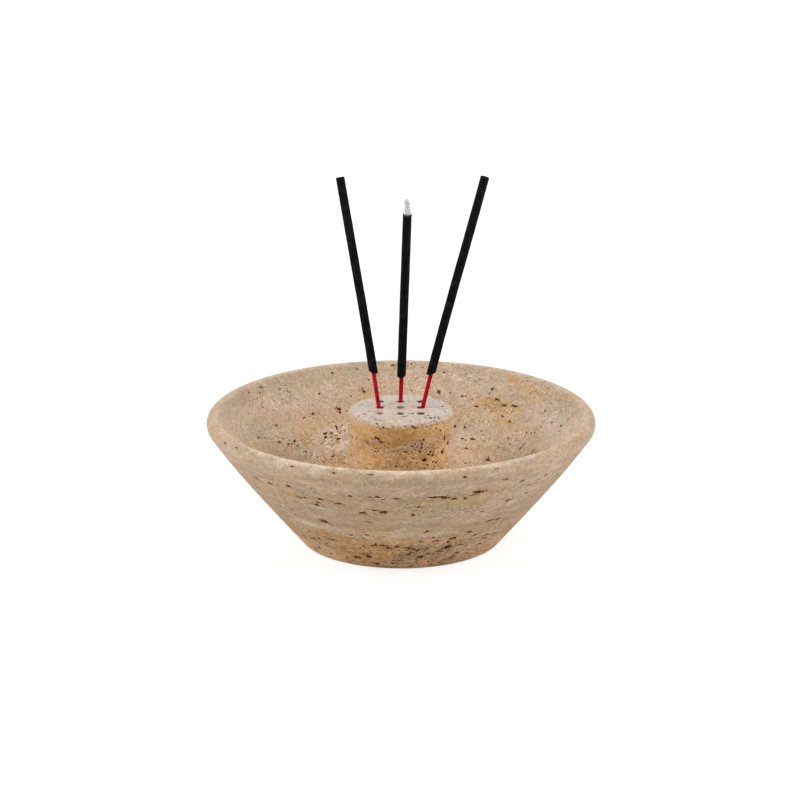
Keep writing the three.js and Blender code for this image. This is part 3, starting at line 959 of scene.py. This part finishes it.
# Pits of the post's side: degrees round from +X, height, length and height across
POST_PITS = [
    (-118.6, 36.5, 0.8, 0.8), (-115.6, 36.1, 1.5, 0.9), (-112.3, 35.4, 1.1, 0.7), (-129.5, 34.5, 0.8, 0.6),
    (-115.6, 32.2, 0.9, 0.6), (-91.9, 36.6, 0.4, 0.4), (-66.9, 34.7, 1.0, 0.8), (-72.5, 33.9, 0.6, 0.6),
    (-67.2, 33.5, 0.7, 1.1), (-69.1, 32.2, 0.7, 0.7), (-56.4, 31.7, 0.7, 1.3), (-58.6, 30.9, 0.8, 0.7),
    (-53.1, 30.3, 1.0, 0.6), (-64.2, 29.3, 2.1, 1.2), (-52.8, 28.3, 0.8, 1.0), (-48.8, 27.9, 1.1, 0.6),
    (-60.1, 27.6, 0.8, 0.6), (-38.6, 30.5, 1.8, 1.4), (-34.5, 34.9, 0.8, 1.5), (-27.7, 32.6, 1.4, 1.4),
    (-24.5, 30.9, 0.9, 0.8), (-48.6, 38.6, 0.7, 0.7), (-41.6, 37.7, 0.8, 0.8), (-75.5, 39.9, 0.9, 0.5),
    (-130.8, 26.0, 0.8, 0.6), (-53.1, 25.9, 1.5, 0.4), (-63.7, 26.7, 1.9, 0.4), (-161.6, 29.4, 1.2, 0.6),
    (-146.5, 34.4, 0.7, 0.4), (-144.2, 30.5, 0.7, 0.7), (-93.3, 32.8, 0.4, 0.4), (-103.2, 34.8, 0.4, 0.4),
    (-77.4, 40.5, 1.6, 0.5, -45), (-109.6, 40.1, 0.7, 0.7), (-118.0, 40.9, 1.2, 0.5),
    (-149.7, 40.5, 0.8, 0.5),
    (-66.5, 40.6, 0.6, 0.5), (-86.0, 40.7, 0.5, 0.4), (-134.0, 40.8, 0.6, 0.4), (-98.4, 40.6, 0.5, 0.4),
]
# How far from the axis random pits open in the post's top, in millimetres
TOP_REACH = 14.3
# Depth of the pits listed below
TOP_DEPTH = 0.8
# Pits of the post's top: where they lie from the axis, length along X and width along Y
TOP_PITS = [
    (3.2, -4.4, 1.7, 1.0), (0.4, -7.8, 0.8, 0.8), (1.4, -7.7, 0.8, 0.8), (-11.0, -5.5, 1.0, 1.0),
    (-6.2, -11.4, 0.9, 1.0), (-7.4, -11.0, 0.6, 0.7), (-8.0, -10.2, 0.6, 0.8), (8.3, -6.4, 0.7, 1.0),
    (9.1, -8.7, 0.7, 1.1), (10.3, -8.8, 0.7, 1.2), (11.3, -8.3, 0.7, 0.9), (8.8, -9.8, 0.6, 0.8),
    (11.6, -9.7, 0.6, 0.8), (7.4, -8.2, 0.5, 0.8), (-3.5, -10.5, 0.5, 0.7), (-9.1, -8.6, 0.5, 0.7),
    (-1.4, -12.2, 0.6, 0.7), (2.9, -12.2, 0.6, 0.8), (5.7, -11.2, 0.6, 0.8), (12.8, 2.8, 0.7, 0.8),
    (12.0, 0.1, 0.5, 0.6), (13.5, -3.1, 0.6, 0.9), (-13.0, -7.3, 0.7, 0.9), (-9.8, -2.0, 0.6, 0.8),
]


class HOLDER_OT_turn_post(bpy.types.Operator):
    """Turn the post in golden travertine and drill its nine holes"""

    bl_idname = "holder.turn_post"
    bl_label = "Turn post"

    def execute(self, context):
        sizes, look = context.scene.post_sizes, context.scene.stone_look
        low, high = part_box("post")
        bm = turned(post_section(sizes, high.x, low.z, high.z), sizes.facet, 160)
        tree = BVHTree.FromBMesh(bm)
        shift = Vector((sizes.hole_shift_x, sizes.hole_shift_y, high.z))
        steps = (-1, 0, 1)
        mouths = [shift + Vector((x, y, 0)) * sizes.hole_pitch for x in steps for y in steps]
        rng = random.Random(look.seed + 1)
        pits = wall_pits(tree, POST_PITS, inside=False, larger=0.6)
        pits += random_wall_pits(tree, rng, [(35, 3, 40, 0.5), (25, 5, 60, 0.7)], inside=False)
        for x, y, long, wide in TOP_PITS:
            place = Vector((x * MM, y * MM, high.z))
            pits.append(Pit(place, UP, Vector((1, 0, 0)), long * MM, wide * MM, TOP_DEPTH * MM))
        for _ in range(24):
            reach, turn = math.sqrt(rng.random()) * TOP_REACH * MM, rng.uniform(0, TURN)
            place = Vector((reach * math.cos(turn), reach * math.sin(turn), high.z))
            long = rng.uniform(0.3, 0.7) * MM
            if min((place - mouth).length for mouth in mouths) > 0.75 * sizes.hole_diameter:
                pits.append(Pit(place, UP, Vector((1, 0.2, 0)), long, long * 0.6, long))
        beds = [
            (0.0, look.gold),
            (1.0, look.gold),
            (0.45, look.gold),
            (0.6, look.straw),
            (0.7, look.gold),
            (0.82, look.brown),
            (0.9, look.gold),
        ]
        porosity = [(0.0, grey(0.8)), (1.0, grey(0.2)), (0.945, grey(0.9)), (0.972, grey(0.25))]
        patches = [
            Patch(-92, 16, 36.5, 6.5, 2.6, look.umber, 0.85),
            Patch(-97, 16, 31.5, 3.5, 3, look.grey, 0.4, 0.3),
            Patch(-85, 16, 28, 4, 2, look.umber, 0.6),
            Patch(-55, 16, 32, 6, 5, look.peach, 0.5),
            Patch(-60, 16, 29, 6, 4, look.umber, 0.35, 0.4),
            # A tall pale pink band down the post's right side: painted light, where that side catches
            # grazing light
            Patch(-8, 16, 30, 6, 14, look.rose, 0.9),
            Patch(-160, 16, 32, 5, 12, look.peach, 0.8),
            # These two only open more pores along the top's front edge
            Patch(-104, 15.8, 40.4, 9, 0.9, look.cap, 0.0, 0.5),
            Patch(-55, 15.8, 40.4, 8, 0.9, look.cap, 0.0, 0.5),
        ]
        cap = (high.z - sizes.cap_thickness) / MM
        stone = travertine("Travertine_golden_honed", look, beds, porosity, patches, cap)
        post = piece("post_turned", bm, stone, "holder", ["post"])
        for mouth in mouths:
            cutter = bpy.data.objects.new("drill", bpy.data.meshes.new("drill"))
            drilled = drill(sizes, mouth)
            drilled.to_mesh(cutter.data)
            drilled.free()
            context.scene.collection.objects.link(cutter)
            cut(post, cutter)
        # The cut leaves many-sided faces round the mouths, which the pits' refining can't halve
        bm = bmesh.new()
        bm.from_mesh(post.data)
        bmesh.ops.triangulate(bm, faces=[f for f in bm.faces if len(f.verts) > 4])
        carve(bm, pits, sizes.facet)
        soil_holes(bm, sizes, high.z)
        bm.to_mesh(post.data)
        bm.free()
        post.data.shade_smooth()
        post.data.set_sharp_from_angle(angle=math.radians(50))
        return {"FINISHED"}


def stick_frame(name):
    """The turn that leans a stick as its body does, and the middle of its core."""
    joint = next(j for j in frame["joints"] if j["child"] == name)
    lean = UP.rotation_difference(Vector(joint["axis"])).to_matrix().to_4x4()
    low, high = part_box(name + "_core")
    return Matrix.Translation((low + high) / 2) @ lean


def ends(node, turn, radius):
    """Foot and top, along the stick, of a round piece that fills a node's box."""
    low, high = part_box(node)
    upright = (turn.to_3x3() @ UP).z
    half = ((high.z - low.z) - 2 * radius * math.sqrt(1 - upright**2)) / upright / 2
    middle = (turn.inverted() @ ((low + high) / 2)).z
    return middle - half, middle + half


def droop(bm, turn, sag, mouth, tip):
    """Bends a straight stick so that it stands steeper low down and leans more further up."""
    leaning = turn.to_3x3().inverted() @ UP
    back = Vector((leaning.x, leaning.y, 0)).normalized()
    for vert in bm.verts:
        share = min(1, max(0, (vert.co.z - mouth) / (tip - mouth)))
        # The curve is highest, at 4/27, a third of the way up
        vert.co += back * sag * 27 / 4 * share * (1 - share) ** 2


def bamboo_core(sizes, foot, top, radius):
    chamfer = 0.12 * MM
    section = [
        Vector((0, foot)),
        Vector((radius - chamfer, foot)),
        Vector((radius, foot + chamfer)),
        Vector((radius, top)),
        Vector((0, top)),
    ]
    bm = turned(section, 0.5 * MM, 32)
    for vert in bm.verts:
        # Ridges follow the fibres, which wander slowly round the stick
        place = Vector((vert.co.x / (0.28 * MM), vert.co.y / (0.28 * MM), vert.co.z / (9 * MM)))
        ridge = sizes.fibre * (noise.noise(place) - 0.5)
        vert.co += Vector((vert.co.x, vert.co.y, 0)).normalized() * ridge
    return bm


def paste_coat(sizes, foot, top, radius, core, slant, low_side, lit):
    """The rolled coating; its foot runs down the core further on one side than on the other."""
    round_foot, round_top = sizes.coat_foot_radius, sizes.coat_top_radius
    foot -= slant / 2 + 0.3 * MM
    bore_end = foot + 4 * MM
    section = [
        Vector((0, bore_end)),
        Vector((core, bore_end)),
        Vector((core, foot)),
        *arc(Vector((radius - round_foot, foot + round_foot)), round_foot, -math.pi / 2, 0, 0.12 * MM),
        *arc(Vector((radius - round_top, top - round_top)), round_top, 0, math.pi / 2, 0.1 * MM),
        Vector((0, top)),
    ]
    bm = turned(section, 0.3 * MM, 48)
    burnt = bm.verts.layers.float.new("burnt")
    for vert in bm.verts:
        outward = Vector((vert.co.x, vert.co.y, 0))
        share = min(1, outward.length / radius)
        place = vert.co.copy()
        grit = sizes.grit * (noise.noise(place / (0.45 * MM)) + 0.5 * noise.noise(place / (0.2 * MM)))
        lump = sizes.lump * noise.noise(place / (5 * MM))
        if outward.length > core * 1.2:
            vert.co += outward.normalized() * (grit + lump) * share
        near_foot = min(1, max(0, 1 - (place.z - foot) / (3 * MM)))
        side = 0.5 - 0.5 * math.cos(math.atan2(place.y, place.x) - low_side)
        vert.co.z += slant * side * near_foot * share
        vert[burnt] = min(1, max(0, 1 - (top - place.z) / (1.2 * MM))) if lit else 0
    return bm


def ash_column(foot, top, radius):
    """Ash that has kept the stick's form in uneven, tilted flakes."""
    tall = top - foot
    widths = [(0, 1.3), (0.12, 1.35), (0.24, 1.05), (0.36, 0.95), (0.5, 0.88), (0.7, 0.95), (0.9, 0.7)]
    section = [Vector((0, foot))]
    section += [Vector((width * radius, foot + share * tall)) for share, width in widths]
    section.append(Vector((0, top)))
    bm = turned(section, 0.12 * MM, 40)
    for vert in bm.verts:
        share = (vert.co.z - foot) / tall
        outward = Vector((vert.co.x, vert.co.y, 0))
        flake = noise.noise(Vector((vert.co.x, vert.co.y, vert.co.z * 1.8)) / (0.8 * MM))
        crumb = noise.noise(vert.co / (0.35 * MM))
        vert.co += outward * (0.22 * flake + 0.3 * crumb) * min(1, share * 4)
        vert.co.x -= 0.5 * MM * share * share
    return bm


class HOLDER_OT_stand_sticks(bpy.types.Operator):
    """Stand the three incense sticks in their holes, the middle one burnt down a little"""

    bl_idname = "holder.stand_sticks"
    bl_label = "Stand sticks"

    def execute(self, context):
        sizes, look = context.scene.stick_sizes, context.scene.stick_look
        bamboo, paste, ash = dyed_bamboo(look), charcoal_paste(look), incense_ash(look)
        # How far the paste's foot is slanted, and towards which side it runs down lowest
        feet = {
            "left_stick": (1.3 * MM, 0),
            "middle_stick": (0.6 * MM, math.pi),
            "right_stick": (1.4 * MM, math.pi),
        }
        for name, (slant, low_side) in feet.items():
            turn = stick_frame(name)
            core, coat = sizes.core_diameter / 2, sizes.coat_diameter / 2
            foot, top = ends(name + "_core", turn, core)
            # The core leaves its hole 4.7 mm above its foot, and droops from there on
            mouth, tip = foot + 4.7 * MM, top
            bm = bamboo_core(sizes, foot, top, core)
            self.finish(bm, turn, mouth, tip, name + "_bamboo", bamboo, "red_bamboo", name + "_core")
            foot, top = ends(name + "_coat", turn, coat)
            lit = name + "_ash" in frame["nodes"]
            bm = paste_coat(sizes, foot, top, coat, core, slant, low_side, lit)
            self.finish(bm, turn, mouth, tip, name + "_paste", paste, "charcoal_paste", name + "_coat")
            if lit:
                low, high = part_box(name + "_ash")
                ash_top = top + (high.z - low.z) / (turn.to_3x3() @ UP).z - 0.3 * MM
                # Ash is thinner than the paste it was, and its foot sits in the paste's end
                shrunk = 0.85 * MM
                bm = ash_column(top - 0.05 * MM, ash_top, shrunk)
                self.finish(bm, turn, mouth, tip, name + "_flakes", ash, "white_ash", name + "_ash")
        return {"FINISHED"}

    def finish(self, bm, turn, mouth, tip, name, material, slot, node):
        droop(bm, turn, bpy.context.scene.stick_sizes.sag, mouth, tip)
        bm.transform(turn)
        piece(name, bm, material, name.rsplit("_", 1)[0], [node])


class HOLDER_OT_set_stage(bpy.types.Operator):
    """Lay the pale floor, hang the lamps and place the camera"""

    bl_idname = "holder.set_stage"
    bl_label = "Set stage"

    def execute(self, context):
        scene, look = context.scene, context.scene.stage_look
        scene.view_settings.view_transform = "Standard"
        self.lay_floor(scene, look)
        self.light(scene, look)
        self.place_camera(scene)
        return {"FINISHED"}

    def lay_floor(self, scene, look):
        bm = bmesh.new()
        # The card reaches so far, in metres, that no view shows where it ends
        reach = 12
        bmesh.ops.create_circle(bm, cap_ends=True, segments=96, radius=reach)
        mesh = bpy.data.meshes.new("floor")
        bm.to_mesh(mesh)
        bm.free()
        floor = bpy.data.objects.new("floor", mesh)
        scene.collection.objects.link(floor)
        # Matt white card: it keeps a faint shadow, and shows white to the camera and in reflections
        material, tree = new_material("Card_white_matt")
        seen = in_view(tree)
        plain = add_node(tree, "BsdfDiffuse", {"Color": look.floor})
        dim = add_node(tree, "BsdfDiffuse", {"Color": (0.3, 0.3, 0.3, 1)})
        # Far out, where the lamps hardly reach, the card shows white by itself
        here = add_node(tree, "TexCoord").outputs["Object"]
        away = add_node(tree, "VectorMath", {0: here}, operation="LENGTH")
        strength = add_node(
            tree,
            "MapRange",
            {"Value": away, "From Min": 0.4, "From Max": 1.5, "To Min": 0.78, "To Max": 1},
        )
        glow = add_node(tree, "Emission", {"Color": grey(1), "Strength": strength})
        bright = add_node(tree, "AddShader", {0: dim, 1: glow})
        both = add_node(tree, "MixShader", {0: seen, 1: plain, 2: bright})
        add_node(tree, "OutputMaterial", {"Surface": both})
        mesh.materials.append(material)

    def light(self, scene, look):
        world = bpy.data.worlds.new("Even sky")
        world.use_nodes = True
        tree = world.node_tree
        tree.nodes.clear()
        seen = in_view(tree)
        sky = add_node(tree, "Background", {"Color": grey(1), "Strength": look.sky})
        backdrop = add_node(tree, "Background", {"Color": grey(1), "Strength": 1})
        both = add_node(tree, "MixShader", {0: seen, 1: sky, 2: backdrop})
        add_node(tree, "OutputWorld", {"Surface": both})
        scene.world = world
        lamps = [
            ("front", look.front, 0.8, Vector((0, -0.75, 0.7))),
            ("left", look.left, 0.7, Vector((-0.8, -0.1, 0.6))),
            ("right", look.right, 0.7, Vector((0.8, -0.1, 0.6))),
            ("back", look.back, 0.7, Vector((0, 0.8, 0.6))),
        ]
        for name, power, width, place in lamps:
            lamp = bpy.data.lights.new(name, "AREA")
            lamp.energy = power
            lamp.size = width
            lamp.shape = "DISK"
            obj = bpy.data.objects.new(name, lamp)
            obj.location = place
            obj.rotation_euler = (-place).to_track_quat("-Z", "Y").to_euler()
            scene.collection.objects.link(obj)

    def place_camera(self, scene):
        # The lens, height and aim were fitted to the rim and the outline from a metre away
        data = bpy.data.cameras.new("camera")
        data.lens = 145.96
        data.sensor_width = 36
        camera = bpy.data.objects.new("camera", data)
        down = math.radians(17.01)
        aim = Vector((-0.336 * MM, 0, 44.12 * MM))
        camera.location = aim + Vector((0, -math.cos(down), math.sin(down)))
        camera.rotation_euler = (math.pi / 2 - down, 0, 0)
        data.clip_start = 0.01
        data.clip_end = 50
        scene.collection.objects.link(camera)
        scene.camera = camera


class HOLDER_PT_panel(bpy.types.Panel):
    """The sizes, the looks and the steps that make the holder"""

    bl_label = "Incense bowl"
    bl_idname = "HOLDER_PT_panel"
    bl_space_type = "VIEW_3D"
    bl_region_type = "UI"
    bl_category = "Incense bowl"

    def draw(self, context):
        for group in GROUPS:
            box = self.layout.box()
            settings = getattr(context.scene, group)
            for prop in settings.bl_rna.properties:
                if prop.identifier not in ("rna_type", "name"):
                    box.prop(settings, prop.identifier)
        for step in STEPS:
            self.layout.operator(step.bl_idname)


GROUPS = {
    "bowl_sizes": BowlSizes,
    "post_sizes": PostSizes,
    "stick_sizes": StickSizes,
    "stone_look": StoneLook,
    "stick_look": StickLook,
    "stage_look": StageLook,
}
STEPS = [HOLDER_OT_turn_bowl, HOLDER_OT_turn_post, HOLDER_OT_stand_sticks, HOLDER_OT_set_stage]


def register():
    for group, made in GROUPS.items():
        bpy.utils.register_class(made)
        setattr(bpy.types.Scene, group, PointerProperty(type=made))
    for step in STEPS:
        bpy.utils.register_class(step)
    bpy.utils.register_class(HOLDER_PT_panel)


def unregister():
    bpy.utils.unregister_class(HOLDER_PT_panel)
    for step in reversed(STEPS):
        bpy.utils.unregister_class(step)
    for group, made in reversed(GROUPS.items()):
        delattr(bpy.types.Scene, group)
        bpy.utils.unregister_class(made)


def main():
    register()
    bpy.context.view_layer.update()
    bpy.ops.holder.turn_bowl()
    bpy.ops.holder.turn_post()
    bpy.ops.holder.stand_sticks()
    bpy.ops.holder.set_stage()


if __name__ == "__main__":
    main()
